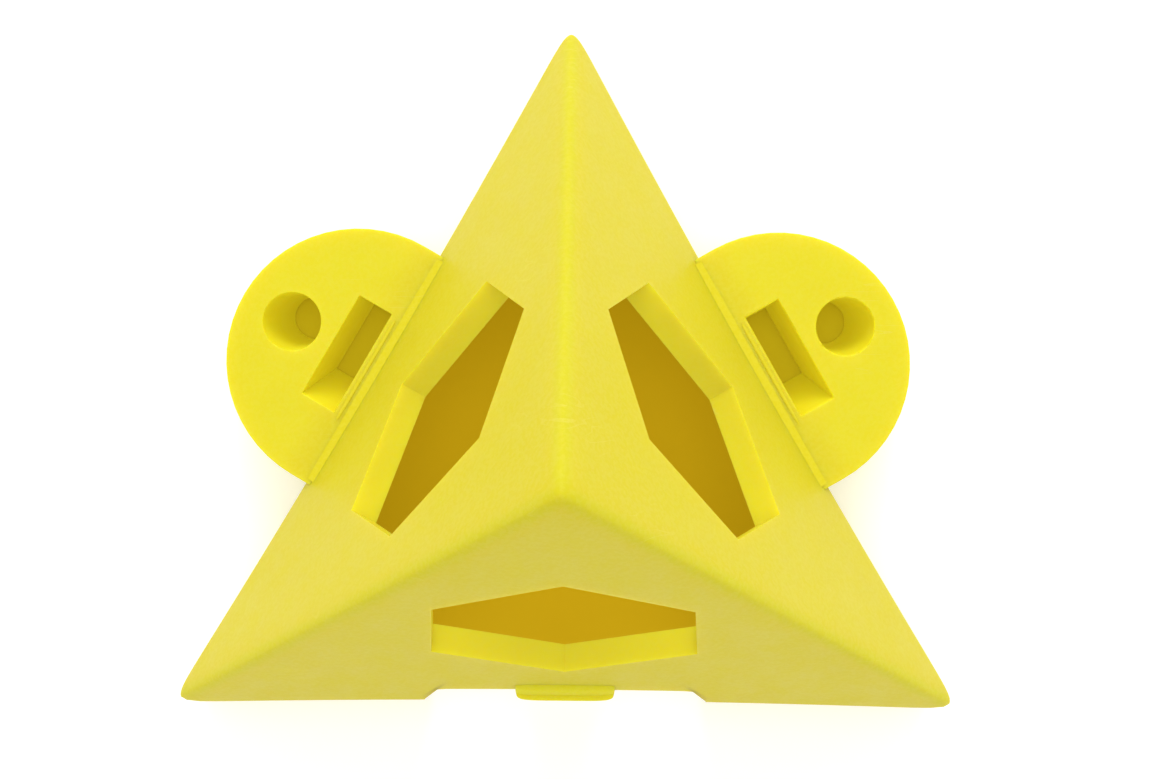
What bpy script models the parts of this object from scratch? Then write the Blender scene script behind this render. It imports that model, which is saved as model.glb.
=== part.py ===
"""Interlocking three-sided work rest: a hollow plastic pyramid with two slotted lugs and a lock tab.

Metres, +Z up. It stands on z = 0, with its lock tab towards -Y and its footprint centred on the origin.
"""

import math

import bmesh
import bpy
from mathutils import Matrix, Vector

# Driving sizes, in metres
BASE_SIDE = 0.0735  # side of the base triangle, to its sharp corners
BASE_BOW = 0.00055  # how far the middle of each base edge is drawn in
CORNER_RADIUS = 0.0012  # of the base corners and of the ridges above them
RIM_HEIGHT = 0.0085  # upright rim below the sloping faces
OVERALL_HEIGHT = 0.0450
TIP_HEIGHT = 0.0036  # the part of the height that is the tip
TIP_ROUND = 0.0010  # height of the dome that the work touches
WALL = 0.0026  # measured square to a sloping face

WINDOW_LOW = 0.0043  # distances in plan from the base edge to the window's points
WINDOW_LOW_CORNER = 0.0066
WINDOW_HIGH_CORNER = 0.0112
WINDOW_HIGH = 0.0136
WINDOW_LOW_WIDTH = 0.0228
WINDOW_HIGH_WIDTH = 0.0212

LUG_RADIUS = 0.0122
LUG_REACH = 0.0010  # how far outside the base edge the lug's round end is centred
LUG_SHIFT = 0.0004  # from the middle of the base edge towards the front
LUG_HEIGHT = 0.0095
LUG_TOP = 0.0024  # thickness of the lug's top plate
LUG_WALL = 0.0018  # outer wall of a lug, and the walls around its hole and its slot
HOLE_REACH = 0.0081  # outside the base edge, as is SLOT_REACH
HOLE_TOP_RADIUS = 0.00270
HOLE_FOOT_RADIUS = 0.00205
HOLE_LEAN = 0.0012  # how far the foot of the hole lies nearer the back than its top
SLOT_REACH = 0.0022
SLOT_WIDTH = 0.00345
SLOT_LENGTH = 0.0105
SLOT_DRAFT = 0.0001  # lean of the slot's outer side
SLOT_RAMP = 0.0032  # run of the ramp at the slot's end nearest the front

TAB_THICKNESS = 0.0022
TAB_SETBACK = 0.0004  # from the middle of the base edge in to the front of the tab
TAB_SIDE_CLEARANCE = 0.0008  # between the tab and each end of a neighbour's slot
TAB_REACH_DOWN = 0.0055  # how deep the tab reaches into a neighbour's slot
TAB_NOSE = 0.0007  # bevel around the foot of the tab
LUG_CLEARANCE = 0.0009  # beside a neighbour's lug where it passes under the front
LUG_HEADROOM = 0.0017  # above it

SEAM = 0.0003  # the clear gap left between neighbouring solids
CUT = 0.0020  # how far a cutter runs past what it cuts

# Worked out from them
SQRT3 = math.sqrt(3.0)
IN_RADIUS = BASE_SIDE / (2.0 * SQRT3)  # centre to base edge, in plan
SLOPED_HEIGHT = OVERALL_HEIGHT - RIM_HEIGHT
TIP_SPREAD = 2.2  # grows the section under the dome
TIP_CORNER_SHARE = 0.27  # corner radius over side where the sections get small; 0.289 is a circle
TIP_SIDE = TIP_SPREAD * SQRT3 * CORNER_RADIUS  # side of the section on which the dome stands
DOME_FLAT = 0.12  # size of the flat on top of the dome, as a share of its foot
SLOPE = (SLOPED_HEIGHT - TIP_ROUND) / (BASE_SIDE - TIP_SIDE) * 2.0 * SQRT3  # rise over run of a face
SLOPE_ANGLE = math.atan(SLOPE)
WALL_IN_PLAN = WALL / math.sin(SLOPE_ANGLE)
SHARP_APEX = RIM_HEIGHT + SLOPE * IN_RADIUS
TIP_SEAM = OVERALL_HEIGHT - TIP_HEIGHT
HALF_SEAM = SEAM / 2.0
NOTCH_WIDTH = 2.0 * (LUG_RADIUS + LUG_CLEARANCE)
NOTCH_HEIGHT = LUG_HEIGHT + LUG_HEADROOM
NOTCH_ROUND = 0.2 * NOTCH_HEIGHT
CORE_CORNER = 0.5 * CORNER_RADIUS
CORE_TOP_SHARE = 0.05  # size of the hollow's top, as a share of its foot
TAB_WIDTH = SLOT_LENGTH - 2.0 * TAB_SIDE_CLEARANCE
CENTRE_Y = -(IN_RADIUS - CORNER_RADIUS) / 2.0  # puts the middle of the footprint on the origin

EDGE_STEPS = 8
CORNER_STEPS = 5
ROUND_STEPS = 48

FRONT, LEFT_SIDE, RIGHT_SIDE = -90.0, 150.0, 30.0  # directions in which the base edges face


def clear_scene():
    for old in list(bpy.data.objects):
        bpy.data.objects.remove(old, do_unlink=True)


def plastic(name, colour):
    material = bpy.data.materials.new(name)
    material.use_nodes = True
    shader = material.node_tree.nodes["Principled BSDF"]
    shader.inputs["Base Color"].default_value = (*colour, 1.0)
    shader.inputs["Roughness"].default_value = 0.38
    shader.inputs["Metallic"].default_value = 0.0
    material.diffuse_color = (*colour, 1.0)
    return material


def outline(side, corner_radius, bow=0.0):
    """Points of a triangle with round corners and drawn-in edges, anticlockwise around its centre."""
    reach = side / SQRT3 - 2.0 * corner_radius
    points = []
    for corner in (-30.0, 90.0, 210.0):
        middle = Vector((math.cos(math.radians(corner)), math.sin(math.radians(corner)))) * reach
        for step in range(CORNER_STEPS + 1):
            turn = math.radians(corner - 60.0 + 120.0 * step / CORNER_STEPS)
            points.append(middle + corner_radius * Vector((math.cos(turn), math.sin(turn))))
        facing = math.radians(corner + 60.0)
        outward = Vector((math.cos(facing), math.sin(facing)))
        along = Vector((-outward.y, outward.x))
        straight = side - 2.0 * SQRT3 * corner_radius
        for step in range(1, EDGE_STEPS):
            share = step / EDGE_STEPS
            depth = side / (2.0 * SQRT3) - 4.0 * bow * share * (1.0 - share)
            points.append(outward * depth + along * straight * (share - 0.5))
    return points


def loft(name, sections):
    """A closed solid through sections, each a list of plan points and a height, from the lowest up."""
    mesh = bmesh.new()
    rings = [[mesh.verts.new((p.x, p.y + CENTRE_Y, z)) for p in points] for points, z in sections]
    for low, high in zip(rings, rings[1:]):
        for i in range(len(low)):
            j = (i + 1) % len(low)
            mesh.faces.new((low[i], low[j], high[j], high[i]))
    mesh.faces.new(list(reversed(rings[0])))
    mesh.faces.new(rings[-1])
    return finish(name, mesh)


def prism(name, low_points, high_points, low, high):
    """A closed solid between two polygons with as many points each, both anticlockwise from above."""
    mesh = bmesh.new()
    foot = [mesh.verts.new((x, y, low)) for x, y in low_points]
    head = [mesh.verts.new((x, y, high)) for x, y in high_points]
    for i in range(len(foot)):
        j = (i + 1) % len(foot)
        mesh.faces.new((foot[i], foot[j], head[j], head[i]))
    mesh.faces.new(list(reversed(foot)))
    mesh.faces.new(head)
    return finish(name, mesh)


def finish(name, mesh):
    bmesh.ops.recalc_face_normals(mesh, faces=mesh.faces)
    data = bpy.data.meshes.new(name)
    mesh.to_mesh(data)
    mesh.free()
    made = bpy.data.objects.new(name, data)
    bpy.context.scene.collection.objects.link(made)
    return made


def helper(made):
    made.hide_render = True
    made.display_type = "WIRE"
    return made


def boolean(target, other, operation="DIFFERENCE"):
    step = target.modifiers.new(operation.lower() + "_" + other.name, "BOOLEAN")
    step.operation = operation
    step.object = other
    step.solver = "EXACT"


def dressed(made, material):
    made.data.materials.append(material)
    made.data.shade_smooth()
    made.data.set_sharp_from_angle(angle=math.radians(32.0))
    return made


def edge_frame(facing, height=0.0):
    """Puts x along a base edge, y outward across it and z up, with the origin on the middle of the edge."""
    turn = math.radians(facing)
    outward = Vector((math.cos(turn), math.sin(turn), 0.0))
    along = Vector((outward.y, -outward.x, 0.0))
    origin = outward * IN_RADIUS + Vector((0.0, CENTRE_Y, height))
    frame = Matrix((along, outward, Vector((0.0, 0.0, 1.0)))).transposed().to_4x4()
    frame.translation = origin
    return frame


def side_at(height):
    """Side of the outer triangle at a height on the sloping faces."""
    return 2.0 * SQRT3 * (SHARP_APEX - height) / SLOPE


def section_at(height):
    side = side_at(height)
    radius = min(CORNER_RADIUS, TIP_CORNER_SHARE * side)
    return outline(side, radius, BASE_BOW * side / BASE_SIDE), height


def make_hollow_core():
    """The space inside the rim and the faces."""
    shrink = 2.0 * SQRT3 * WALL_IN_PLAN
    inner = BASE_SIDE - shrink
    top_side = CORE_TOP_SHARE * inner
    top = RIM_HEIGHT + (inner - top_side) * SLOPE / (2.0 * SQRT3)
    return helper(loft("hollow_core", [
        (outline(inner, CORE_CORNER, BASE_BOW), -CUT),
        (outline(inner, CORE_CORNER, BASE_BOW), RIM_HEIGHT),
        (outline(top_side, TIP_CORNER_SHARE * top_side), top),
    ]))


def make_notch_cutter():
    """The opening under the front face, round at its upper corners."""
    half = NOTCH_WIDTH / 2.0
    points = [(-half, -CUT), (half, -CUT)]
    for start, across in ((0.0, half - NOTCH_ROUND), (90.0, -half + NOTCH_ROUND)):
        for step in range(CORNER_STEPS + 1):
            turn = math.radians(start + 90.0 * step / CORNER_STEPS)
            points.append((across + NOTCH_ROUND * math.cos(turn),
                           NOTCH_HEIGHT - NOTCH_ROUND + NOTCH_ROUND * math.sin(turn)))
    cutter = prism("notch_cutter", points, points, -2.0 * WALL_IN_PLAN, CUT)
    stand = Matrix(((-1.0, 0.0, 0.0), (0.0, 0.0, 1.0), (0.0, 1.0, 0.0))).to_4x4()
    cutter.data.transform(edge_frame(FRONT) @ stand)
    return helper(cutter)


def make_window_cutter(facing):
    """A six-sided window, cut square to the sloping face."""
    low, high = WINDOW_LOW_WIDTH / 2.0, WINDOW_HIGH_WIDTH / 2.0
    run = math.cos(SLOPE_ANGLE)
    points = [(0.0, WINDOW_LOW), (low, WINDOW_LOW_CORNER), (high, WINDOW_HIGH_CORNER),
              (0.0, WINDOW_HIGH), (-high, WINDOW_HIGH_CORNER), (-low, WINDOW_LOW_CORNER)]
    on_face = [(x, inward / run) for x, inward in points]
    cutter = prism("window_cutter_%d" % round(facing % 360.0), on_face, on_face, -2.0 * WALL, CUT)
    lean = Matrix(((-1.0, 0.0, 0.0),
                   (0.0, -run, math.sin(SLOPE_ANGLE)),
                   (0.0, math.sin(SLOPE_ANGLE), run))).to_4x4()
    cutter.data.transform(edge_frame(facing, RIM_HEIGHT) @ lean)
    return helper(cutter)


def circle(radius, middle_y, middle_x=0.0):
    turns = (2.0 * math.pi * i / ROUND_STEPS for i in range(ROUND_STEPS))
    return [(middle_x + radius * math.cos(turn), middle_y + radius * math.sin(turn)) for turn in turns]


def lug_outline(radius, start):
    """A lug from above: a half round end with straight sides that run back to y = start."""
    steps = ROUND_STEPS // 2
    begin = math.asin(max(0.0, start - LUG_REACH) / radius)
    turns = (begin + (math.pi - 2.0 * begin) * i / steps for i in range(steps + 1))
    end = [(radius * math.cos(turn), LUG_REACH + radius * math.sin(turn)) for turn in turns]
    return end if start >= LUG_REACH else [(-radius, start), (radius, start)] + end


def box(half_width, near, far):
    return [(-half_width, near), (half_width, near), (half_width, far), (-half_width, far)]


def make_lug(name, facing, front_is, material, rim_clearance):
    """A lug with its screw hole, its slot and two pockets below. front_is +1 where +x runs to the front."""
    frame = edge_frame(facing) @ Matrix.Translation((front_is * LUG_SHIFT, 0.0, 0.0))
    lug = prism(name, lug_outline(LUG_RADIUS, -WALL), lug_outline(LUG_RADIUS, -WALL), 0.0, LUG_HEIGHT)

    hole = prism(name + "_hole_cutter", circle(HOLE_FOOT_RADIUS, HOLE_REACH, -front_is * HOLE_LEAN),
                 circle(HOLE_TOP_RADIUS, HOLE_REACH), 0.0, LUG_HEIGHT)
    for vertex in hole.data.vertices:
        vertex.co.z += CUT if vertex.co.z > LUG_HEIGHT / 2.0 else -CUT

    half, near, far = SLOT_LENGTH / 2.0, SLOT_REACH - SLOT_WIDTH / 2.0, SLOT_REACH + SLOT_WIDTH / 2.0
    reach = 1.0 + CUT / LUG_HEIGHT
    ends = []
    for depth in (reach, 1.0 - reach):
        low_x = -half + (SLOT_RAMP * depth if front_is < 0 else 0.0)
        high_x = half - (SLOT_RAMP * depth if front_is > 0 else 0.0)
        out = far - SLOT_DRAFT * depth
        ends.append([(low_x, near), (high_x, near), (high_x, out), (low_x, out)])
    slot = prism(name + "_slot_cutter", ends[0], ends[1], -CUT, LUG_HEIGHT + CUT)

    roof = LUG_HEIGHT - LUG_TOP
    inner = lug_outline(LUG_RADIUS - LUG_WALL, SEAM + LUG_WALL)
    pocket = prism(name + "_pocket_cutter", inner, inner, -CUT, roof)
    around_slot = box(half + LUG_WALL, -2.0 * CUT, far + LUG_WALL)
    slot_boss = prism(name + "_slot_boss_cutter", around_slot, around_slot, -2.0 * CUT, roof + CUT)
    around_hole = circle(HOLE_TOP_RADIUS + LUG_WALL, HOLE_REACH)
    hole_boss = prism(name + "_hole_boss_cutter", around_hole, around_hole, -2.0 * CUT, roof + CUT)
    boolean(pocket, slot_boss)
    boolean(pocket, hole_boss)

    for made in (lug, hole, slot, pocket, slot_boss, hole_boss):
        made.data.transform(frame)
    for made in (hole, slot, pocket, slot_boss, hole_boss):
        helper(made)
    for cutter in (rim_clearance, pocket, hole, slot):
        boolean(lug, cutter)
    return dressed(lug, material)


def make_rim(material, core, notch):
    rim = loft("base_rim", [
        (outline(BASE_SIDE, CORNER_RADIUS, BASE_BOW), 0.0),
        (outline(BASE_SIDE, CORNER_RADIUS, BASE_BOW), RIM_HEIGHT - HALF_SEAM),
    ])
    boolean(rim, core)
    boolean(rim, notch)
    return dressed(rim, material)


def make_shell(material, core, notch, windows):
    low, high = RIM_HEIGHT + HALF_SEAM, TIP_SEAM - HALF_SEAM
    shell = loft("pyramid_shell", [section_at(low), section_at(high)])
    boolean(shell, core)
    boolean(shell, notch)
    for window in windows:
        boolean(shell, window)
    return dressed(shell, material)


def make_tip(material):
    """The rounded point: the faces run on to the section that carries a low dome."""
    foot_of_dome = OVERALL_HEIGHT - TIP_ROUND
    sections = [section_at(TIP_SEAM + HALF_SEAM), section_at(foot_of_dome)]
    dome_points = sections[-1][0]
    for step in range(1, CORNER_STEPS):
        turn = math.radians(90.0 * step / CORNER_STEPS)
        height = foot_of_dome + TIP_ROUND * math.sin(turn)
        sections.append(([p * math.cos(turn) for p in dome_points], height))
    sections.append(([p * DOME_FLAT for p in dome_points], OVERALL_HEIGHT))
    return dressed(loft("rest_tip", sections), material)


def make_tab(material):
    """A tongue that hangs from the top of the notch, with its front in line with the bowed base edge."""
    half, nose = TAB_WIDTH / 2.0, TAB_NOSE
    top = NOTCH_HEIGHT - SEAM
    foot = LUG_HEIGHT - TAB_REACH_DOWN
    front = -BASE_BOW - TAB_SETBACK
    back = front - TAB_THICKNESS
    wide = box(half, back, front)
    slim = box(half - nose, back + nose, front - nose)
    mesh = bmesh.new()
    rings = []
    for points, height in ((slim, foot), (wide, foot + 2.0 * nose), (wide, top)):
        rings.append([mesh.verts.new((x, y, height)) for x, y in points])
    for low, high in zip(rings, rings[1:]):
        for i in range(4):
            j = (i + 1) % 4
            mesh.faces.new((low[i], low[j], high[j], high[i]))
    mesh.faces.new(list(reversed(rings[0])))
    mesh.faces.new(rings[-1])
    tab = finish("lock_tab", mesh)
    tab.data.transform(edge_frame(FRONT))
    return dressed(tab, material)


def main():
    clear_scene()
    shell_yellow = plastic("shell_yellow", (0.80, 0.68, 0.07))
    lug_yellow = plastic("lug_yellow", (0.86, 0.77, 0.045))
    tip_yellow = plastic("tip_yellow", (0.78, 0.70, 0.06))

    core = make_hollow_core()
    notch = make_notch_cutter()
    windows = [make_window_cutter(facing) for facing in (FRONT, RIGHT_SIDE, LEFT_SIDE)]
    clearance_side = BASE_SIDE + 2.0 * SQRT3 * SEAM
    clearance = outline(clearance_side, CORNER_RADIUS + SEAM, BASE_BOW)
    rim_clearance = helper(loft("rim_clearance", [(clearance, -CUT), (clearance, LUG_HEIGHT + CUT)]))

    make_rim(shell_yellow, core, notch)
    make_shell(shell_yellow, core, notch, windows)
    make_tip(tip_yellow)
    make_lug("left_lug", LEFT_SIDE, -1, lug_yellow, rim_clearance)
    make_lug("right_lug", RIGHT_SIDE, 1, lug_yellow, rim_clearance)
    make_tab(shell_yellow)


main()
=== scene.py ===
import math

import bmesh
import bpy
import numpy as np
from mathutils import Matrix, Vector


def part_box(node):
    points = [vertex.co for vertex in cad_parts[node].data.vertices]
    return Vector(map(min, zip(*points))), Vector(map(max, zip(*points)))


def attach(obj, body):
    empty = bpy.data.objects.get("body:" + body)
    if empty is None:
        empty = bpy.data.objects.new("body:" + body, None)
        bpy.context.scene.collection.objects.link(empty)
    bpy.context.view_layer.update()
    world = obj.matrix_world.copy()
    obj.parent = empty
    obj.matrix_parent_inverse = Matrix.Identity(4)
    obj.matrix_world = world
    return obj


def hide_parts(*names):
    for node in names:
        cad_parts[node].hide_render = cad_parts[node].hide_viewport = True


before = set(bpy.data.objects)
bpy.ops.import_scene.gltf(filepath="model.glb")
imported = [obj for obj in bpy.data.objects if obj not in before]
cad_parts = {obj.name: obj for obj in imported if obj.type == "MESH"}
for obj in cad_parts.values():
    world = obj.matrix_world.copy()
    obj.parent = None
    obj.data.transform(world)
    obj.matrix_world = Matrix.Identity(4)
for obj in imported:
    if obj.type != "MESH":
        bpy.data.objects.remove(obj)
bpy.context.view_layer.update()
print("frame loaded:", ", ".join(sorted(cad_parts)))

rimLow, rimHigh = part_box("base_rim")
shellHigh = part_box("rest_tip")[1]
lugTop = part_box("left_lug")[1].z
tabLow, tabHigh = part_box("lock_tab")
seam = 0.0003  # the gap that the frame's solids keep, closed again here
root3 = math.sqrt(3.0)

cameraSettings = {
    "aboveRim": 0.142,  # lens to the top of the rim
    "place": (0.00154, -0.00554),  # in plan
    "lens": 46.8,
    "sensor": 36.0,
    "turn": 0.53,  # degrees
    "shift": (0.0019, 0.0345),
}


def makeCamera(s):
    data = bpy.data.cameras.new("overheadCamera")
    data.lens = s["lens"]
    data.sensor_width = s["sensor"]
    data.shift_x, data.shift_y = s["shift"]
    data.clip_start = 0.01
    camera = bpy.data.objects.new("overheadCamera", data)
    bpy.context.scene.collection.objects.link(camera)
    camera.location = (*s["place"], rimHigh.z + 0.5 * seam + s["aboveRim"])
    camera.rotation_euler = (0.0, 0.0, math.radians(s["turn"]))
    bpy.context.scene.camera = camera
    print("camera placed")


makeCamera(cameraSettings)

# Sizes of the pyramid, as the frame has them
pyramid = {
    "cornerTrim": 0.000885,  # sharp corner to the end of the round one, along the front
    "wall": 0.0026,  # square to a sloping face
    "bow": 0.00055,  # how far the middle of a base edge is drawn in
    "ridgeSoftness": 0.00077,  # of the soft minimum that rounds the ridges and the tip
    "creaseRadius": 0.0008,
    "creaseSteps": 3,
    "windowPoints": ((0.0, 0.0043), (0.0114, 0.0066), (0.0106, 0.0112), (0.0, 0.0136)),
    "windowSteps": (26, 14, 24),  # along the sill, the side and the head
    "lipSteps": (12, 5),  # along the notch's top and round its corner
    "sideShare": 0.6,  # of a ridge, as far as it belongs to the window's side
    "baseGather": 1.7,  # how strongly rows draw together towards the corners of the base
    "tipGather": 1.6,  # the same towards the tip
    "faceRows": 18,
    "innerRows": 12,
    "windowEdgeRows": 5,
    "wallRows": (0.0001, 0.0010, 0.0025, 0.0040, 0.0055, 0.0068),
    "acrossRim": 6,
    "notchHalf": 0.0131,
    "notchTop": 0.0112,
    "notchRound": 0.00224,
    "edgeRound": 0.00028,
}
side = (rimHigh.x - rimLow.x) + 2.0 * pyramid["cornerTrim"]
inRadius = side / (2.0 * root3)
centreY = rimLow.y + inRadius
rimTop = rimHigh.z + 0.5 * seam
softness = pyramid["ridgeSoftness"]
slope = (shellHigh.z - rimTop) / (inRadius - softness * math.log(3.0))
slopeAngle = math.atan(slope)
wallInPlan = pyramid["wall"] / math.sin(slopeAngle)
facings = {"front": -90.0, "right": 30.0, "left": 150.0}


def sideFrame(facing):
    # x along the base edge, y outward across it, z up, from the middle of the edge
    turn = math.radians(facing)
    outward = Vector((math.cos(turn), math.sin(turn), 0.0))
    along = Vector((outward.y, -outward.x, 0.0))
    placed = Matrix((along, outward, Vector((0.0, 0.0, 1.0)))).transposed().to_4x4()
    placed.translation = outward * inRadius + Vector((0.0, centreY, 0.0))
    return np.array(placed)


def edgeDistances(x, d):
    # plan distance in from each of the three bowed base edges: this side's, then the two beside it
    def bowed(along, inward):
        left = np.maximum(1.0 - inward / inRadius, 1e-6)
        share = along / (root3 * inRadius * left)
        return inward - pyramid["bow"] * left * np.maximum(1.0 - share ** 2, 0.0)
    half = 0.5 * root3
    rows = [bowed(x, d)]
    for way in (1.0, -1.0):
        inward = 1.5 * inRadius - 0.5 * d - way * half * x
        along = 0.5 * x + way * half * (inRadius - d)
        rows.append(bowed(along, inward))
    return rows


def softInset(x, d):
    # soft minimum of the three distances: minus s times the log of the summed exp(-distance / s)
    rows = edgeDistances(x, d)
    return -softness * np.log(sum(np.exp(-row / softness) for row in rows))


def contour(x, level):
    # the distance d at each x where the soft minimum equals level, by limited Newton steps
    x = np.asarray(x, float)
    tiny, longestStep, leastGrade = 1e-7, 0.0006, 0.12
    d = np.zeros_like(x) + level + 0.2 * softness
    for _ in range(60):
        miss = softInset(x, d) - level
        grade = (softInset(x, d + tiny) - softInset(x, d - tiny)) / (2.0 * tiny)
        d = d - np.clip(miss / np.maximum(grade, leastGrade), -longestStep, longestStep)
    return d


def cornerX(level):
    # where the contour at that level meets the plane of the ridge
    return root3 * (inRadius - level - softness * math.log(2.0))


def faceHeight(x, d, drop=0.0):
    return rimTop + slope * (softInset(x, d) - drop)


def spread(count, power=1.0):
    # 0 to 1 in count steps, drawn together towards 1 as the power grows
    return 1.0 - (1.0 - np.linspace(0.0, 1.0, count + 1)) ** power


def stack(x, d, z):
    return np.stack([x, -d, z], axis=-1)


def windowHalf(shift=0.0):
    # half of the six-sided window, from its lowest point up to its highest, in equal steps
    points = np.array(pyramid["windowPoints"]) + (0.0, shift)
    parts = []
    for steps, start, end in zip(pyramid["windowSteps"], points, points[1:]):
        share = np.linspace(0.0, 1.0, steps + 1)[1 if parts else 0:, None]
        parts.append(start + (end - start) * share)
    loop = np.concatenate(parts)
    return loop[:, 0], loop[:, 1]


def ridgePath(level):
    # up the ridge plane from the corner of the contour to the middle of the pyramid
    split = pyramid["sideShare"]
    low = split * spread(pyramid["windowSteps"][1])
    high = split + (1.0 - split) * spread(pyramid["windowSteps"][2], pyramid["tipGather"])
    share = np.concatenate([low[1:], high[1:]])
    corner = level + softness * math.log(2.0)
    d = corner + (inRadius - corner) * share
    return root3 * (inRadius - d), d


def basePath(level, height):
    # along one level contour, from the middle of the side to the corner of the base
    share = spread(pyramid["windowSteps"][0], pyramid["baseGather"])
    x = share * cornerX(level)
    return x, contour(x, level), np.full_like(x, height)


notchFlat = pyramid["notchHalf"] - pyramid["notchRound"]  # where the round corner starts
notchFoot = pyramid["notchTop"] - pyramid["notchRound"]  # where it ends


def notchX(z):
    # the side of the front notch at a height: upright, then a round corner
    rise = np.clip(z - notchFoot, 0.0, pyramid["notchRound"])
    return notchFlat + np.sqrt(pyramid["notchRound"] ** 2 - rise ** 2)


def lipPath(lowLevel, lowHeight):
    # along the notch's top, round its corner and on along the crease to the corner of the base
    flatSteps, roundSteps = pyramid["lipSteps"]
    onwardSteps = pyramid["windowSteps"][0] - flatSteps - roundSteps
    radius = pyramid["notchRound"]
    last = math.asin((lowHeight - notchFoot) / radius)
    turn = np.linspace(0.5 * math.pi, last, roundSteps + 1)[1:]
    x = [np.linspace(0.0, notchFlat, flatSteps + 1), notchFlat + radius * np.cos(turn)]
    z = [np.full(flatSteps + 1, pyramid["notchTop"]), notchFoot + radius * np.sin(turn)]
    start = x[1][-1]
    x.append(start + (cornerX(lowLevel) - start) * spread(onwardSteps, pyramid["baseGather"])[1:])
    z.append(np.full(onwardSteps, lowHeight))
    x, z = np.concatenate(x), np.concatenate(z)
    level = lowLevel + (z - lowHeight) / slope
    return x, contour(x, level), z


creaseTurn = 0.5 * math.pi - slopeAngle
creaseFoot = rimTop - pyramid["creaseRadius"] * math.tan(0.5 * creaseTurn)
creaseLevel = pyramid["creaseRadius"] * (1.0 - math.cos(creaseTurn))
creaseTop = creaseFoot + pyramid["creaseRadius"] * math.sin(creaseTurn)


def facePanel(base, level, drop, shift, rows):
    # a ring of straight lines from the window's edge to the panel's border, lifted to the face
    windowX, windowD = windowHalf(shift)
    ridgeX, ridgeD = ridgePath(level)
    borderX = np.concatenate([base[0], ridgeX])
    borderD = np.concatenate([base[1], ridgeD])
    ridgeZone, extraGather = 0.2, 0.6  # rows draw together in this last share of the way
    nearRidge = np.clip((borderX / cornerX(level) - (1.0 - ridgeZone)) / ridgeZone, 0.0, 1.0)
    nearRidge[len(base[0]):] = 1.0
    power = 1.0 + extraGather * nearRidge
    share = 1.0 - (1.0 - np.linspace(0.0, 1.0, rows + 1)[:, None]) ** power
    x = windowX + (borderX - windowX) * share
    d = windowD + (borderD - windowD) * share
    z = faceHeight(x, d, drop)
    z[-1, :len(base[0])] = base[2]
    return stack(x, d, z)


def ruled(start, end, steps):
    # straight lines from each point of one row to the same point of the other
    share = np.linspace(0.0, 1.0, steps + 1)[:, None, None]
    return start + (end - start) * share


def halfSide(front):
    # the patches of one half of one side, x >= 0, each a grid of points and its material's number
    windowDrop = pyramid["wall"] * math.sin(slopeAngle)  # the window is cut square to the face
    path = lipPath if front else basePath
    outerBase = path(creaseLevel, creaseTop)
    innerBase = path(wallInPlan, rimTop)
    outer = facePanel(outerBase, creaseLevel, 0.0, 0.0, pyramid["faceRows"])
    inner = facePanel(innerBase, wallInPlan, wallInPlan, windowDrop, pyramid["innerRows"])
    # the window's edge takes the second material, the paler one with a painted glow
    windowEdge = ruled(outer[0], inner[0], pyramid["windowEdgeRows"])

    arc = np.linspace(creaseTurn, 0.0, pyramid["creaseSteps"] + 1)
    upright = pyramid["wallRows"][::-1] + (0.0,)
    levels = pyramid["creaseRadius"] * (1.0 - np.cos(arc))
    levels = np.concatenate([levels, np.zeros(len(upright))])
    heights = np.concatenate([creaseFoot + pyramid["creaseRadius"] * np.sin(arc), upright])
    inHeights = heights * rimTop / heights[0]
    lipEnd = sum(pyramid["lipSteps"])

    def wallRow(level, z):
        if not front:
            return stack(*basePath(level, z))
        start = notchX(z)
        share = spread(pyramid["windowSteps"][0] - lipEnd, pyramid["baseGather"])
        x = start + (cornerX(level) - start) * share
        return stack(x, contour(x, level), np.full_like(x, z))

    outWall = np.stack([wallRow(level, z) for level, z in zip(levels, heights)])
    inWall = np.stack([wallRow(wallInPlan, z) for z in inHeights])
    foot = ruled(outWall[-1], inWall[-1], pyramid["acrossRim"])
    patches = [outer, inner, outWall, inWall, foot]
    if front:
        lips = [stack(*base)[:lipEnd + 1] for base in (outerBase, innerBase)]
        ends = [np.concatenate([lip, wall[1:, 0]]) for lip, wall in zip(lips, (outWall, inWall))]
        patches.append(ruled(ends[0], ends[1], pyramid["acrossRim"]))
    return [(patch, 0) for patch in patches] + [(windowEdge, 1)]


def meshFromGrids(name, grids, merge=2e-6):
    # joins grids of points into one mesh and closes it where their borders meet
    points, quads, numbers, start = [], [], [], 0
    for grid, number in grids:
        rows, columns = grid.shape[:2]
        index = start + np.arange(rows * columns).reshape(rows, columns)
        corners = (index[:-1, :-1], index[:-1, 1:], index[1:, 1:], index[1:, :-1])
        quads.append(np.stack([corner.ravel() for corner in corners], axis=1))
        numbers.append(np.full(len(quads[-1]), number))
        points.append(grid.reshape(-1, 3))
        start += rows * columns
    data = bpy.data.meshes.new(name)
    data.from_pydata(np.concatenate(points), [], np.concatenate(quads))
    data.polygons.foreach_set("material_index", np.concatenate(numbers))
    work = bmesh.new()
    work.from_mesh(data)
    bmesh.ops.remove_doubles(work, verts=work.verts, dist=merge)
    bmesh.ops.dissolve_degenerate(work, edges=work.edges, dist=merge)
    bmesh.ops.recalc_face_normals(work, faces=work.faces)
    openEdges = sum(not edge.is_manifold for edge in work.edges)
    work.to_mesh(data)
    work.free()
    print(name, len(data.polygons), "faces,", openEdges, "open edges")
    return data


def placeObject(name, data, *materials):
    data.shade_smooth()
    piece = bpy.data.objects.new(name, data)
    bpy.context.scene.collection.objects.link(piece)
    for material in materials:
        data.materials.append(material)
    return piece


edgeRounding = {"segments": 3, "angle": 35.0}  # edges sharper than this many degrees are rounded


def roundEdges(piece, width):
    step = piece.modifiers.new("roundEdges", "BEVEL")
    step.limit_method = "ANGLE"
    step.angle_limit = math.radians(edgeRounding["angle"])
    step.width = width
    step.segments = edgeRounding["segments"]
    step.use_clamp_overlap = True
    step.harden_normals = True


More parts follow.
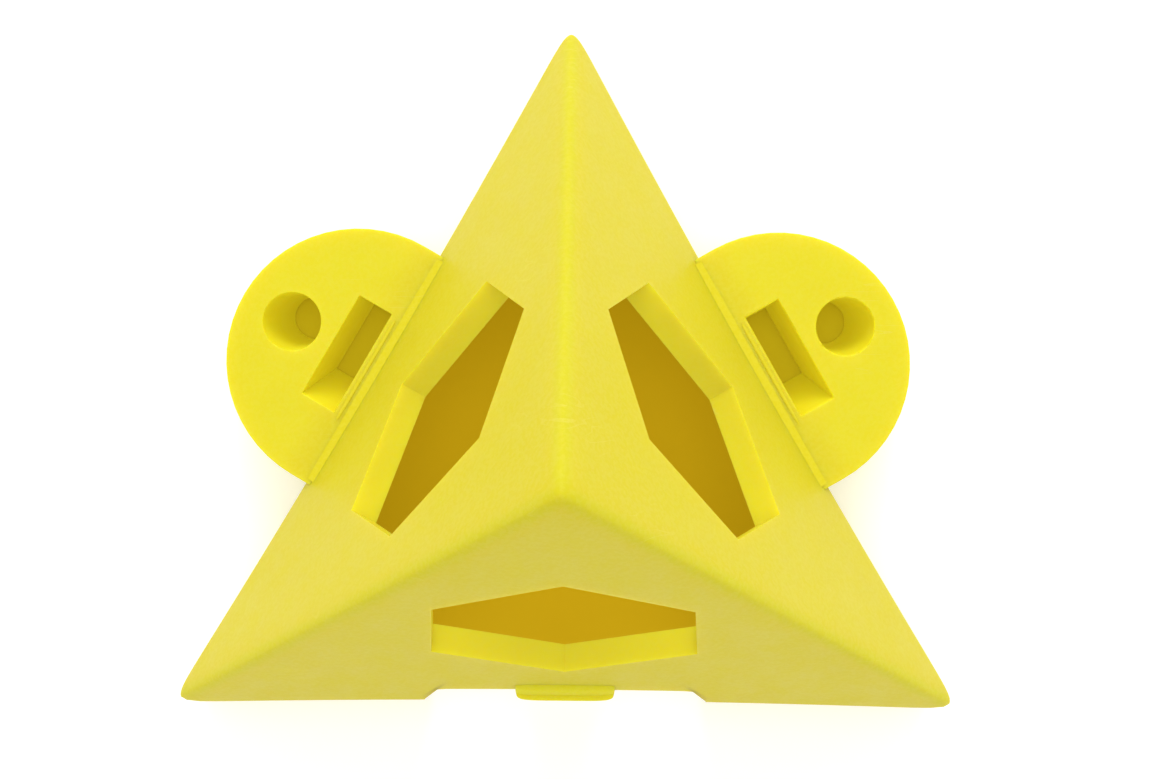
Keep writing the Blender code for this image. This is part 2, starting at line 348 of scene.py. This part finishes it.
def moved(grid, matrix):
    # points from a side's own frame into the object's
    return grid @ matrix[:3, :3].T + matrix[:3, 3]


def makePyramid(material, edgeGlowMaterial):
    grids = []
    for name, facing in facings.items():
        matrix = sideFrame(facing)
        for grid, number in halfSide(name == "front"):
            for way in (1.0, -1.0):
                grids.append((moved(grid * (way, 1.0, 1.0), matrix), number))
    data = meshFromGrids("pyramidBody", grids)
    body = placeObject("pyramidBody", data, material, edgeGlowMaterial)
    roundEdges(body, pyramid["edgeRound"])
    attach(body, "root")
    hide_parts("base_rim", "pyramid_shell", "rest_tip")


lug = {
    "radius": 0.0122,
    "reach": 0.0010,  # outside the base edge, the middle of the round end
    "shift": 0.0004,  # from the middle of the base edge towards the front
    "root": -0.0017,  # how far in under the rim's skin the lug runs
    "footGap": 0.00006,  # its foot stops short of the rim's, or the two would lie in one plane
    "top": 0.0024,  # thickness of the top plate
    "wall": 0.0018,
    "holeReach": 0.0081,
    "holeTop": 0.00270,
    "holeFoot": 0.00205,
    "holeLean": 0.0012,  # how far the foot of the hole lies away from the front
    "holeSteps": 40,
    "slotReach": 0.0022,
    "slotWidth": 0.00345,
    "slotLength": 0.0105,
    "slotDraft": 0.0001,
    "slotRamp": 0.0032,  # how much shorter the foot of the slot is, at its front end
    "roundSteps": 56,
    "edgeRound": 0.00035,
    "past": 0.002,  # how far a cutter runs past what it cuts
}
trim = {
    "fillet": 0.0016,  # radius, where the lug's top runs into the sloping face
    "filletSteps": 12,
    "filletDip": 0.00003,  # lets the arc cross both faces instead of only touching them
    "filletTail": 0.0010,  # how far the bar runs on inside the wall, so that no edge of it shows
    "filletTuck": 0.00008,  # how deep under the face's skin the tail starts
    "filletHeel": 0.0009,  # how far in and down from the crease the bar's back lies
    "filletShort": 0.0004,  # how much it stops short of the lug's side at each end
    "beadHalf": (0.0055, 0.00018, 0.00008),  # half the bead's length, width and height
    "beadPast": 0.0004,  # how much further the bead runs at the front
    "beadGap": 0.00056,  # edge of the slot to the middle of the bead
    "beadLift": 0.00002,
    "beadSteps": (32, 16),  # along and around
    "sharpAngle": 30.0,  # degrees
}
lugSides = {"left": -1.0, "right": 1.0}  # which way along its base edge the front lies


def lugOutline(radius, start):
    # a half circle about the reach, with straight sides back to start
    steps = lug["roundSteps"] // 2
    begin = math.asin(max(0.0, start - lug["reach"]) / radius)
    turn = np.linspace(begin, math.pi - begin, steps + 1)
    loop = np.stack([radius * np.cos(turn), lug["reach"] + radius * np.sin(turn)], axis=1)
    if start < lug["reach"]:
        loop = np.concatenate([[(-radius, start), (radius, start)], loop])
    return loop


def circleLoop(radius, middle, steps, across=0.0):
    turn = np.linspace(0.0, 2.0 * math.pi, steps, endpoint=False)
    return np.stack([across + radius * np.cos(turn), middle + radius * np.sin(turn)], axis=1)


def boxLoop(low, high, near, far):
    return np.array([(low, near), (high, near), (high, far), (low, far)])


def prismMesh(name, loops, matrix):
    # a closed solid through loops of plan points, each with its height, the lowest first
    count = len(loops[0][0])
    points = np.concatenate([np.column_stack([loop, np.full(count, z)]) for loop, z in loops])
    near = np.arange(count)
    far = np.roll(near, -1)
    faces = []
    for level in range(len(loops) - 1):
        low, high = level * count, (level + 1) * count
        faces += np.stack([near + low, far + low, far + high, near + high], axis=1).tolist()
    faces += [near[::-1].tolist(), (near + (len(loops) - 1) * count).tolist()]
    data = bpy.data.meshes.new(name)
    data.from_pydata(moved(points, matrix), [], faces)
    return data


def cutInto(piece, cutters):
    # takes each cutter's solid out of the piece, applies that and removes the cutters
    for cutter in cutters:
        step = piece.modifiers.new("cut", "BOOLEAN")
        step.operation = "DIFFERENCE"
        step.solver = "EXACT"
        step.material_mode = "TRANSFER"
        step.object = cutter
    bpy.context.view_layer.update()
    graph = bpy.context.evaluated_depsgraph_get()
    data = bpy.data.meshes.new_from_object(piece.evaluated_get(graph))
    piece.modifiers.clear()
    piece.data = data
    for cutter in cutters:
        bpy.data.objects.remove(cutter)


def lugFrame(sideName):
    matrix = sideFrame(facings[sideName])
    matrix[:3, 3] += matrix[:3, 0] * lugSides[sideName] * lug["shift"]
    return matrix


def turnOutwards(data):
    work = bmesh.new()
    work.from_mesh(data)
    bmesh.ops.recalc_face_normals(work, faces=work.faces)
    work.to_mesh(data)
    work.free()


def filletMesh(name, matrix):
    # a bar whose upper side is an arc that touches the lug's top and the sloping face
    radius, dip, tail = trim["fillet"], trim["filletDip"], trim["filletTail"]
    creaseY = -pyramid["bow"] - (lugTop - rimTop) / slope
    turn = np.linspace(-0.5 * math.pi, -0.5 * math.pi - slopeAngle, trim["filletSteps"] + 1)
    y = creaseY + radius * math.tan(0.5 * slopeAngle) - dip + radius * np.cos(turn)
    z = lugTop + radius - dip + radius * np.sin(turn)
    upSlope = np.array([-math.cos(slopeAngle), math.sin(slopeAngle)])
    inward = np.array([-math.sin(slopeAngle), -math.cos(slopeAngle)])
    tailTop = np.array([y[-1], z[-1]]) + tail * upSlope + trim["filletTuck"] * inward
    heel = (creaseY - trim["filletHeel"], lugTop - trim["filletHeel"])
    profile = np.concatenate([np.column_stack([y, z]), [tailTop, tailTop + tail * inward, heel]])
    half = lug["radius"] - trim["filletShort"]
    count = len(profile)
    ends = [np.column_stack([np.full(count, x), profile]) for x in (-half, half)]
    near = np.arange(count)
    far = np.roll(near, -1)
    faces = np.stack([near, far, far + count, near + count], axis=1).tolist()
    faces += [near[::-1].tolist(), (near + count).tolist()]
    data = bpy.data.meshes.new(name)
    data.from_pydata(moved(np.concatenate(ends), matrix), [], faces)
    turnOutwards(data)
    return data


def beadMesh(name, matrix, toFront):
    # a closed tube: an ellipse across, shrinking to a point at both ends
    length, width, height = trim["beadHalf"]
    alongSteps, aroundSteps = trim["beadSteps"]
    u = np.linspace(-1.0, 1.0, alongSteps + 1)[:, None]
    v = np.linspace(0.0, 2.0 * math.pi, aroundSteps + 1)
    swell = np.sqrt(np.maximum(1.0 - u ** 8, 0.0))
    line = lug["slotReach"] - 0.5 * lug["slotWidth"] - trim["beadGap"]
    x = np.broadcast_to(length * u + toFront * trim["beadPast"], (len(u), len(v)))
    y = line + width * swell * np.cos(v)
    z = lugTop + trim["beadLift"] + height * swell * np.sin(v)
    return meshFromGrids(name, [(moved(np.stack([x, y, z], axis=-1), matrix), 0)])


def lugCutters(matrix, toFront, material, wellGlowMaterial):
    # the hollow under the top plate, the tapered hole and the slot with its ramp
    def cutter(loops, lining):
        return placeObject("cutter", prismMesh("cutter", loops, matrix), lining)

    past = lug["past"]
    half = 0.5 * lug["slotLength"]
    near, far = (lug["slotReach"] + way * 0.5 * lug["slotWidth"] for way in (-1.0, 1.0))
    holeLoops, slotLoops = [], []
    for z in (-past, lugTop + past):
        depth = 1.0 - z / lugTop
        radius = lug["holeTop"] + (lug["holeFoot"] - lug["holeTop"]) * depth
        lean = -toFront * lug["holeLean"] * depth
        holeLoops.append((circleLoop(radius, lug["holeReach"], lug["holeSteps"], lean), z))
        ramp = lug["slotRamp"] * depth
        low = -half + (ramp if toFront < 0 else 0.0)
        high = half - (ramp if toFront > 0 else 0.0)
        slotLoops.append((boxLoop(low, high, near, far - lug["slotDraft"] * depth), z))
    # the walls of the hole and the slot take the paler plastic with its painted glow
    hole = cutter(holeLoops, wellGlowMaterial)
    slot = cutter(slotLoops, wellGlowMaterial)

    wall = lug["wall"]
    roof = lugTop - lug["top"]
    inner = lugOutline(lug["radius"] - wall, seam + wall)
    pocket = cutter([(inner, -past), (inner, roof)], material)
    aroundSlot = boxLoop(-half - wall, half + wall, -2.0 * past, far + wall)
    aroundHole = circleLoop(lug["holeTop"] + wall, lug["holeReach"], lug["holeSteps"])
    bosses = [cutter([(loop, -2.0 * past), (loop, roof + past)], material)
              for loop in (aroundSlot, aroundHole)]
    cutInto(pocket, bosses)
    return [pocket, hole, slot]


def makeLug(name, sideName, material, wellGlowMaterial, stripMaterial):
    toFront = lugSides[sideName]
    matrix = lugFrame(sideName)
    outline = lugOutline(lug["radius"], lug["root"])
    data = prismMesh(name, [(outline, lug["footGap"]), (outline, lugTop)], matrix)
    body = placeObject(name, data, material)
    cutInto(body, lugCutters(matrix, toFront, material, wellGlowMaterial))
    for extra, data in (("Fillet", filletMesh(name + "Fillet", matrix)),
                        ("Bead", beadMesh(name + "Bead", matrix, toFront))):
        strip = placeObject(name + extra, data, stripMaterial)
        data.set_sharp_from_angle(angle=math.radians(trim["sharpAngle"]))
        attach(strip, "root")
    body.data.shade_smooth()
    roundEdges(body, lug["edgeRound"])
    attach(body, "root")
    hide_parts(name.replace("Lug", "_lug"))
    print(name, "cut and trimmed")


tab = {
    "nose": 0.0006,
    "flare": 0.0001,  # how much wider the root is than the tongue, on each side
    "drawBack": 0.0005,  # how far the front draws back where it turns into the face
    "bendRise": 0.0008,  # height of that turn above the notch's top
    "rampTop": 0.0124,  # height at which the root has run out into the face
    "sunk": 0.0001,  # how deep the root ends under the face's skin
    "leastThick": 0.0011,
    "squareness": 0.34,  # power on the loop's sine and cosine, for a box with round corners
    "columns": 24,
    "edgeRound": 0.00015,
}


def makeTab(material):
    # a tongue carried up its height: rows of (half width, front, height), each a rounded loop
    half = 0.5 * (tabHigh.x - tabLow.x)
    front = rimLow.y - tabLow.y
    thick = tabHigh.y - tabLow.y
    foot = tabLow.z
    ceiling = pyramid["notchTop"]
    nose, flare, top, rise = tab["nose"], tab["flare"], tab["rampTop"], tab["bendRise"]
    turned = front - tab["drawBack"]

    def skin(z):
        # y of the sloping face in the middle of the edge, at a height above the rim
        return -pyramid["bow"] - max(z - rimTop, 0.0) / slope

    profile = [
        (half - nose, front - nose, foot),
        (half - 0.35 * nose, front - 0.35 * nose, foot + 0.25 * nose),
        (half, front, foot + nose),
        (half, front, 0.5 * (foot + ceiling)),
        (half, front, ceiling - 2.2 * flare),
        (half + 0.18 * flare, front, ceiling - 1.1 * flare),
        (half + 0.45 * flare, front - 0.3 * tab["drawBack"], ceiling - 0.45 * flare),
        (half + 1.0 * flare, turned, ceiling + 0.1 * flare),
        (half + 0.8 * flare, 0.5 * (turned + skin(ceiling + 1.25 * rise)), ceiling + rise),
        (half + 0.4 * flare, skin(top) - tab["sunk"], top),
    ]
    turn = np.linspace(0.0, 2.0 * math.pi, 4 * tab["columns"], endpoint=False)
    across, along = (np.sign(wave) * np.abs(wave) ** tab["squareness"]
                     for wave in (np.cos(turn), np.sin(turn)))
    rows = []
    for wide, ahead, z in profile:
        back = min(front - thick + (front - ahead if z < foot + nose else 0.0),
                   ahead - tab["leastThick"])
        middle, deep = 0.5 * (ahead + back), 0.5 * (ahead - back)
        rows.append((np.stack([wide * across, middle + deep * along], axis=1), z))
    data = prismMesh("lockTongue", rows, sideFrame(facings["front"]))
    body = placeObject("lockTongue", data, material)
    roundEdges(body, tab["edgeRound"])
    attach(body, "root")
    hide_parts("lock_tab")


def newGroup(name, inputs, outputs):
    group = bpy.data.node_groups.new(name, "ShaderNodeTree")
    for label, kind, value in inputs:
        socket = group.interface.new_socket(label, in_out="INPUT", socket_type=kind)
        socket.default_value = value
    for label, kind in outputs:
        group.interface.new_socket(label, in_out="OUTPUT", socket_type=kind)
    enter = group.nodes.new("NodeGroupInput")
    leave = group.nodes.new("NodeGroupOutput")
    return group, enter, leave


def mathNode(tree, operation, first=None, second=None):
    node = tree.nodes.new("ShaderNodeMath")
    node.operation = operation
    for entry, value in enumerate((first, second)):
        if isinstance(value, (int, float)):
            node.inputs[entry].default_value = value
        elif value is not None:
            tree.links.new(value, node.inputs[entry])
    return node.outputs[0]


def rangeNode(tree, value, low, high, toLow=0.0, toHigh=1.0):
    node = tree.nodes.new("ShaderNodeMapRange")
    node.interpolation_type = "SMOOTHSTEP"
    tree.links.new(value, node.inputs["Value"])
    labels = ("From Min", "From Max", "To Min", "To Max")
    for label, amount in zip(labels, (low, high, toLow, toHigh)):
        node.inputs[label].default_value = amount
    return node.outputs["Result"]


def noiseNode(tree, vector, scale, detail=2.0, roughness=0.5):
    node = tree.nodes.new("ShaderNodeTexNoise")
    tree.links.new(vector, node.inputs["Vector"])
    node.inputs["Scale"].default_value = scale
    node.inputs["Detail"].default_value = detail
    node.inputs["Roughness"].default_value = roughness
    return node.outputs["Fac"]


def blendNode(tree, first, second, firstShare):
    # a weighted sum of two values
    parts = (mathNode(tree, "MULTIPLY", first, firstShare),
             mathNode(tree, "MULTIPLY", second, 1.0 - firstShare))
    return mathNode(tree, "ADD", *parts)


def mixColour(tree, share, first, second):
    node = tree.nodes.new("ShaderNodeMix")
    node.data_type = "RGBA"
    for entry, value in (("Factor", share), ("A", first), ("B", second)):
        socket = next(i for i in node.inputs if i.name == entry and i.enabled)
        if isinstance(value, (int, float)):
            socket.default_value = value
        elif isinstance(value, tuple):
            socket.default_value = (*value, 1.0)
        else:
            tree.links.new(value, socket)
    return next(o for o in node.outputs if o.enabled)


mouldSkin = {
    "flow": (90.0, 3.0, 0.55),  # scale, detail and roughness of each noise
    "cloud": (340.0, 3.0, 0.6),
    "pits": (2600.0, 2.0, 0.6),
    "mottleSpan": (0.34, 0.66),
    "frostSpan": (0.36, 0.64),
    "sheenSpan": (0.3, 0.7),
    "flowShare": 0.6,  # of the mottling, the rest is cloud
    "pitShare": 0.35,  # of the relief, the rest is cloud
}


def makeMouldSkin(s):
    # the fine skin that the mould leaves: mottling, a soft sheen change and a low relief
    group, enter, leave = newGroup(
        "mouldSkin",
        [("Place", "NodeSocketVector", (0.0, 0.0, 0.0)), ("Grain", "NodeSocketFloat", 1.0)],
        [("Mottle", "NodeSocketFloat"), ("Frost", "NodeSocketFloat"),
         ("Sheen Change", "NodeSocketFloat"), ("Relief", "NodeSocketFloat")])
    place = enter.outputs["Place"]
    flow, cloud, pits = (noiseNode(group, place, *s[kind]) for kind in ("flow", "cloud", "pits"))
    mottle = blendNode(group, flow, cloud, s["flowShare"])
    relief = blendNode(group, pits, cloud, s["pitShare"])
    for label, value in (
            ("Mottle", rangeNode(group, mottle, *s["mottleSpan"])),
            ("Frost", rangeNode(group, pits, *s["frostSpan"])),
            ("Sheen Change", rangeNode(group, cloud, *s["sheenSpan"])),
            ("Relief", mathNode(group, "MULTIPLY", relief, enter.outputs["Grain"]))):
        group.links.new(value, leave.inputs[label])
    return group


fineScuffs = {
    "turn": (0.3, 0.2, 0.7),
    "stretch": (60.0, 900.0, 240.0),
    "streak": (1.0, 1.0, 0.4),  # scale, detail and roughness
    "width": 0.012,
    "patchScale": 130.0,
    "patchSpan": (0.56, 0.68),
}


def makeScuffs(s):
    # thin light scratches: stretched noise kept only near its middle value
    group, enter, leave = newGroup(
        "fineScuffs",
        [("Place", "NodeSocketVector", (0.0, 0.0, 0.0)), ("Width", "NodeSocketFloat", s["width"])],
        [("Scuff", "NodeSocketFloat")])
    stretch = group.nodes.new("ShaderNodeMapping")
    stretch.inputs["Rotation"].default_value = s["turn"]
    stretch.inputs["Scale"].default_value = s["stretch"]
    group.links.new(enter.outputs["Place"], stretch.inputs["Vector"])
    streak = noiseNode(group, stretch.outputs["Vector"], *s["streak"])
    away = mathNode(group, "ABSOLUTE", mathNode(group, "SUBTRACT", streak, 0.5))
    line = mathNode(group, "LESS_THAN", away, enter.outputs["Width"])
    patches = noiseNode(group, enter.outputs["Place"], s["patchScale"])
    patches = rangeNode(group, patches, *s["patchSpan"])
    group.links.new(mathNode(group, "MULTIPLY", line, patches), leave.inputs["Scuff"])
    return group


def makeFootprint():
    # plan distances: in from the nearest base edge, how much further in from the next one,
    # and out from the nearer lug's middle
    group, enter, leave = newGroup(
        "footprint",
        [("Place", "NodeSocketVector", (0.0, 0.0, 0.0))],
        [("Inset", "NodeSocketFloat"), ("Ridge Gap", "NodeSocketFloat"),
         ("Lug Distance", "NodeSocketFloat")])
    place = enter.outputs["Place"]
    split = group.nodes.new("ShaderNodeSeparateXYZ")
    group.links.new(place, split.inputs[0])
    gaps = []
    for facing in facings.values():
        turn = math.radians(facing)
        alongX = mathNode(group, "MULTIPLY", split.outputs["X"], math.cos(turn))
        alongY = mathNode(group, "MULTIPLY", split.outputs["Y"], math.sin(turn))
        reach = mathNode(group, "ADD", alongX, alongY)
        gaps.append(mathNode(group, "SUBTRACT", inRadius + centreY * math.sin(turn), reach))
    lower = mathNode(group, "MINIMUM", gaps[0], gaps[1])
    upper = mathNode(group, "MAXIMUM", gaps[0], gaps[1])
    nearest = mathNode(group, "MINIMUM", lower, gaps[2])
    second = mathNode(group, "MAXIMUM", lower, mathNode(group, "MINIMUM", upper, gaps[2]))
    group.links.new(nearest, leave.inputs["Inset"])
    group.links.new(mathNode(group, "SUBTRACT", second, nearest), leave.inputs["Ridge Gap"])
    distances = []
    for sideName in lugSides:
        middle = moved(np.array([(0.0, lug["reach"], 0.0)]), lugFrame(sideName))[0]
        flat = group.nodes.new("ShaderNodeCombineXYZ")
        group.links.new(split.outputs["X"], flat.inputs["X"])
        group.links.new(split.outputs["Y"], flat.inputs["Y"])
        away = group.nodes.new("ShaderNodeVectorMath")
        away.operation = "DISTANCE"
        group.links.new(flat.outputs[0], away.inputs[0])
        away.inputs[1].default_value = middle
        distances.append(away.outputs["Value"])
    group.links.new(mathNode(group, "MINIMUM", *distances), leave.inputs["Lug Distance"])
    return group


groups = {"skin": makeMouldSkin(mouldSkin), "scuffs": makeScuffs(fineScuffs),
          "footprint": makeFootprint()}

# "deep" is a painted deeper yellow, standing in for the light that runs through the thicker
# plastic beside and on a lug; it shows where "deepInsets" lets it: from and to a distance in from
# the base edge, then its share at each. "depth" is how much of the light runs under the skin.
plastics = {
    "shellPlastic": {
        "pale": (0.588, 0.500, 0.008), "deep": (0.602, 0.520, 0.012),
        "ridge": (0.555, 0.510, 0.010), "frost": (0.66, 0.60, 0.11),
        "deepInsets": (0.0040, 0.0090, 1.0, 0.0), "depth": 0.5,
        "roughness": 0.46, "shine": 0.17, "light": (0.0, 0.0, 0.0)},
    # the window's edges: painted paler than the faces, and their "light" is a painted glow, both
    # standing in for the light that comes through the plastic
    "shellEdgeGlowPlastic": {
        "pale": (0.740, 0.660, 0.010), "deep": (0.660, 0.575, 0.010), "frost": (0.72, 0.66, 0.08),
        "deepInsets": (0.0040, 0.0090, 1.0, 0.0), "depth": 0.5,
        "roughness": 0.46, "shine": 0.15, "light": (0.045, 0.045, 0.010)},
    "lugPlastic": {
        "pale": (0.685, 0.612, 0.008), "deep": (0.645, 0.548, 0.008), "frost": (0.72, 0.67, 0.08),
        "deepInsets": (-0.0030, 0.0, 0.0, 1.0), "depth": 0.5,
        "roughness": 0.38, "shine": 0.17, "light": (0.0, 0.0, 0.0)},
    # the walls of the lug's hole and slot: painted paler than the lug, and their "light" is a
    # painted glow, both standing in for the light that comes through the plastic
    "lugWellPlastic": {
        "pale": (0.720, 0.670, 0.012), "deep": (0.690, 0.610, 0.010), "frost": (0.72, 0.67, 0.08),
        "deepInsets": (-0.0030, 0.0, 0.0, 1.0), "depth": 0.5,
        "roughness": 0.40, "shine": 0.14, "light": (0.135, 0.110, 0.004)},
    # the fillet and the bead: painted all over in the deeper yellow that stands in for light
    # through the thicker plastic where they lie
    "lugStripPlastic": {
        "pale": (0.640, 0.555, 0.010), "deep": (0.640, 0.550, 0.010), "frost": (0.72, 0.67, 0.08),
        "deepInsets": (-0.0030, 0.0, 0.0, 1.0), "depth": 0.0,
        "roughness": 0.42, "shine": 0.14, "light": (0.0, 0.0, 0.0)},
    "tabPlastic": {
        "pale": (0.665, 0.605, 0.008), "deep": (0.645, 0.548, 0.008), "frost": (0.72, 0.67, 0.08),
        "deepInsets": (0.0040, 0.0090, 1.0, 0.0), "depth": 0.5,
        "roughness": 0.44, "shine": 0.16, "light": (0.0, 0.0, 0.0)},
}
finish = {
    "lugReach": (0.0105, 0.0140),  # out from a lug's middle, where the painted deeper yellow fades
    "lugShare": 0.85,
    "mottleShare": 0.30,
    "ridgeReach": (0.0004, 0.0019),  # off the plane of a ridge, where its colour fades
    "frostShare": 0.16,
    "scuffShare": 0.16,
    "scuffColour": (0.72, 0.66, 0.20),
    "scuffRoughness": 0.15,
    "sheenChange": 0.10,
    "glowReach": (1.0, 0.62, 0.05),  # how far red, green and blue run under the skin
    "glowScale": 0.0022,
    "reliefStrength": 0.10,
    "reliefDepth": 0.00012,
}


def placeGroup(tree, group, values):
    node = tree.nodes.new("ShaderNodeGroup")
    node.node_tree = group
    for label, value in values.items():
        if isinstance(value, (int, float)):
            node.inputs[label].default_value = value
        else:
            tree.links.new(value, node.inputs[label])
    return node


def makePlastic(name, s):
    material = bpy.data.materials.new(name)
    material.use_nodes = True
    tree = material.node_tree
    shader = tree.nodes["Principled BSDF"]
    place = tree.nodes.new("ShaderNodeTexCoord").outputs["Object"]
    skin = placeGroup(tree, groups["skin"], {"Place": place, "Grain": 1.0})
    scuff = placeGroup(tree, groups["scuffs"], {"Place": place}).outputs["Scuff"]
    plan = placeGroup(tree, groups["footprint"], {"Place": place})

    def share(value, amount):
        return mathNode(tree, "MULTIPLY", value, amount)

    # painted deeper yellow where a lug stands behind the skin, for the light that runs through the
    # thicker plastic there; greener along the ridges
    nearLug = rangeNode(tree, plan.outputs["Lug Distance"], *finish["lugReach"], 1.0, 0.0)
    lowDown = rangeNode(tree, plan.outputs["Inset"], *s["deepInsets"])
    mottle = mathNode(tree, "SUBTRACT", skin.outputs["Mottle"], 0.5)
    deep = mathNode(tree, "ADD", share(share(nearLug, lowDown), finish["lugShare"]),
                    share(mottle, finish["mottleShare"]))
    colour = mixColour(tree, deep, s["pale"], s["deep"])
    if "ridge" in s:
        ridge = rangeNode(tree, plan.outputs["Ridge Gap"], *finish["ridgeReach"], 1.0, 0.0)
        colour = mixColour(tree, ridge, colour, s["ridge"])
    frost = share(skin.outputs["Frost"], finish["frostShare"])
    colour = mixColour(tree, frost, colour, s["frost"])
    colour = mixColour(tree, share(scuff, finish["scuffShare"]), colour, finish["scuffColour"])
    tree.links.new(colour, shader.inputs["Base Color"])
    rough = mathNode(tree, "ADD", share(skin.outputs["Sheen Change"], finish["sheenChange"]),
                     s["roughness"] - 0.5 * finish["sheenChange"])
    rough = mathNode(tree, "ADD", rough, share(scuff, finish["scuffRoughness"]))
    tree.links.new(rough, shader.inputs["Roughness"])
    shader.inputs["Specular IOR Level"].default_value = s["shine"]
    shader.inputs["Subsurface Weight"].default_value = s["depth"]
    shader.inputs["Subsurface Radius"].default_value = finish["glowReach"]
    shader.inputs["Subsurface Scale"].default_value = finish["glowScale"]
    # the painted glow of a plastic that has one, standing in for light that comes through it
    shader.inputs["Emission Color"].default_value = (*s["light"], 1.0)
    shader.inputs["Emission Strength"].default_value = 1.0 if sum(s["light"]) else 0.0
    bump = tree.nodes.new("ShaderNodeBump")
    bump.inputs["Strength"].default_value = finish["reliefStrength"]
    bump.inputs["Distance"].default_value = finish["reliefDepth"]
    tree.links.new(skin.outputs["Relief"], bump.inputs["Height"])
    tree.links.new(bump.outputs["Normal"], shader.inputs["Normal"])
    return material


floorSettings = {
    "reach": 1.2,
    "drop": 0.00005,  # below the part's foot
    "whiteness": 0.90,
    "lift": 0.22,  # light of the sheet itself, which thins the shadows
    "roughness": 0.9,
    "shine": 0.1,
    "hollowInsets": (0.0010, 0.0028),  # in from the base edge, where the hollow's colour sets in
    "hollowFloor": (0.50, 0.32, 0.006),
    "hollowLight": (0.245, 0.162, 0.002),
    "lugInset": 0.0006,  # in from the lug's side, where its colour starts
    "lugFade": 0.0010,
    "lugFloor": (0.565, 0.482, 0.014),
    "lugLight": (0.112, 0.082, 0.002),
}


def makeFloor(s):
    # a pale sheet; under the moulding it takes the golden light that comes through the plastic
    corners = np.array([(-1, -1), (1, -1), (1, 1), (-1, 1)]) * s["reach"]
    data = bpy.data.meshes.new("paleFloor")
    data.from_pydata(np.column_stack([corners, np.full(4, -s["drop"])]), [], [(0, 1, 2, 3)])
    floor = bpy.data.objects.new("paleFloor", data)
    bpy.context.scene.collection.objects.link(floor)
    material = bpy.data.materials.new("paleSheet")
    material.use_nodes = True
    tree = material.node_tree
    shader = tree.nodes["Principled BSDF"]
    place = tree.nodes.new("ShaderNodeTexCoord").outputs["Object"]
    plan = placeGroup(tree, groups["footprint"], {"Place": place})
    under = rangeNode(tree, plan.outputs["Inset"], *s["hollowInsets"])
    ring = lug["radius"] - s["lugInset"]
    lugGlow = rangeNode(tree, plan.outputs["Lug Distance"], ring - s["lugFade"], ring, 1.0, 0.0)
    white = (s["whiteness"],) * 3
    colour = mixColour(tree, lugGlow, white, s["lugFloor"])
    colour = mixColour(tree, under, colour, s["hollowFloor"])
    tree.links.new(colour, shader.inputs["Base Color"])
    glow = mixColour(tree, lugGlow, (s["lift"],) * 3, s["lugLight"])
    glow = mixColour(tree, under, glow, s["hollowLight"])
    tree.links.new(glow, shader.inputs["Emission Color"])
    shader.inputs["Emission Strength"].default_value = 1.0
    shader.inputs["Roughness"].default_value = s["roughness"]
    shader.inputs["Specular IOR Level"].default_value = s["shine"]
    # clear from below, so that the underside can be looked at
    clear = tree.nodes.new("ShaderNodeBsdfTransparent")
    facingDown = tree.nodes.new("ShaderNodeNewGeometry").outputs["Backfacing"]
    either = tree.nodes.new("ShaderNodeMixShader")
    tree.links.new(facingDown, either.inputs["Fac"])
    tree.links.new(shader.outputs["BSDF"], either.inputs[1])
    tree.links.new(clear.outputs["BSDF"], either.inputs[2])
    tree.links.new(either.outputs["Shader"], tree.nodes["Material Output"].inputs["Surface"])
    data.materials.append(material)
    print("floor laid")


lightSettings = {
    "roomColour": (1.0, 0.99, 0.97),
    "roomStrength": 0.90,
    "panels": (  # name, place, width and power
        ("windowPanel", (0.03, 0.60, 0.50), 0.5, 2.8),
        ("ceilingPanel", (0.0, 0.0, 0.8), 0.4, 1.0),
    ),
}


def makeLights(s):
    world = bpy.data.worlds.new("softRoom")
    world.use_nodes = True
    background = world.node_tree.nodes["Background"]
    background.inputs["Color"].default_value = (*s["roomColour"], 1.0)
    background.inputs["Strength"].default_value = s["roomStrength"]
    # the far wall looks as white as the sheet, and lights no more than the room does
    tree = world.node_tree
    wall = tree.nodes.new("ShaderNodeBackground")
    wall.inputs["Color"].default_value = (1.0, 1.0, 1.0, 1.0)
    seen = tree.nodes.new("ShaderNodeLightPath").outputs["Is Camera Ray"]
    either = tree.nodes.new("ShaderNodeMixShader")
    tree.links.new(seen, either.inputs["Fac"])
    tree.links.new(background.outputs[0], either.inputs[1])
    tree.links.new(wall.outputs[0], either.inputs[2])
    tree.links.new(either.outputs[0], tree.nodes["World Output"].inputs["Surface"])
    bpy.context.scene.world = world
    for name, place, size, power in s["panels"]:
        data = bpy.data.lights.new(name, "AREA")
        data.shape = "DISK"
        data.size = size
        data.energy = power
        light = bpy.data.objects.new(name, data)
        bpy.context.scene.collection.objects.link(light)
        light.location = place
        light.rotation_euler = (-Vector(place)).to_track_quat("-Z", "Y").to_euler()
    bpy.context.scene.view_settings.view_transform = "Standard"
    print("lights placed")


plasticMade = {name: makePlastic(name, s) for name, s in plastics.items()}
print("plastics made")

makePyramid(plasticMade["shellPlastic"], plasticMade["shellEdgeGlowPlastic"])
for sideName in lugSides:
    makeLug(sideName + "Lug", sideName, plasticMade["lugPlastic"],
            plasticMade["lugWellPlastic"], plasticMade["lugStripPlastic"])
makeTab(plasticMade["tabPlastic"])
print("pieces made")

makeFloor(floorSettings)
makeLights(lightSettings)
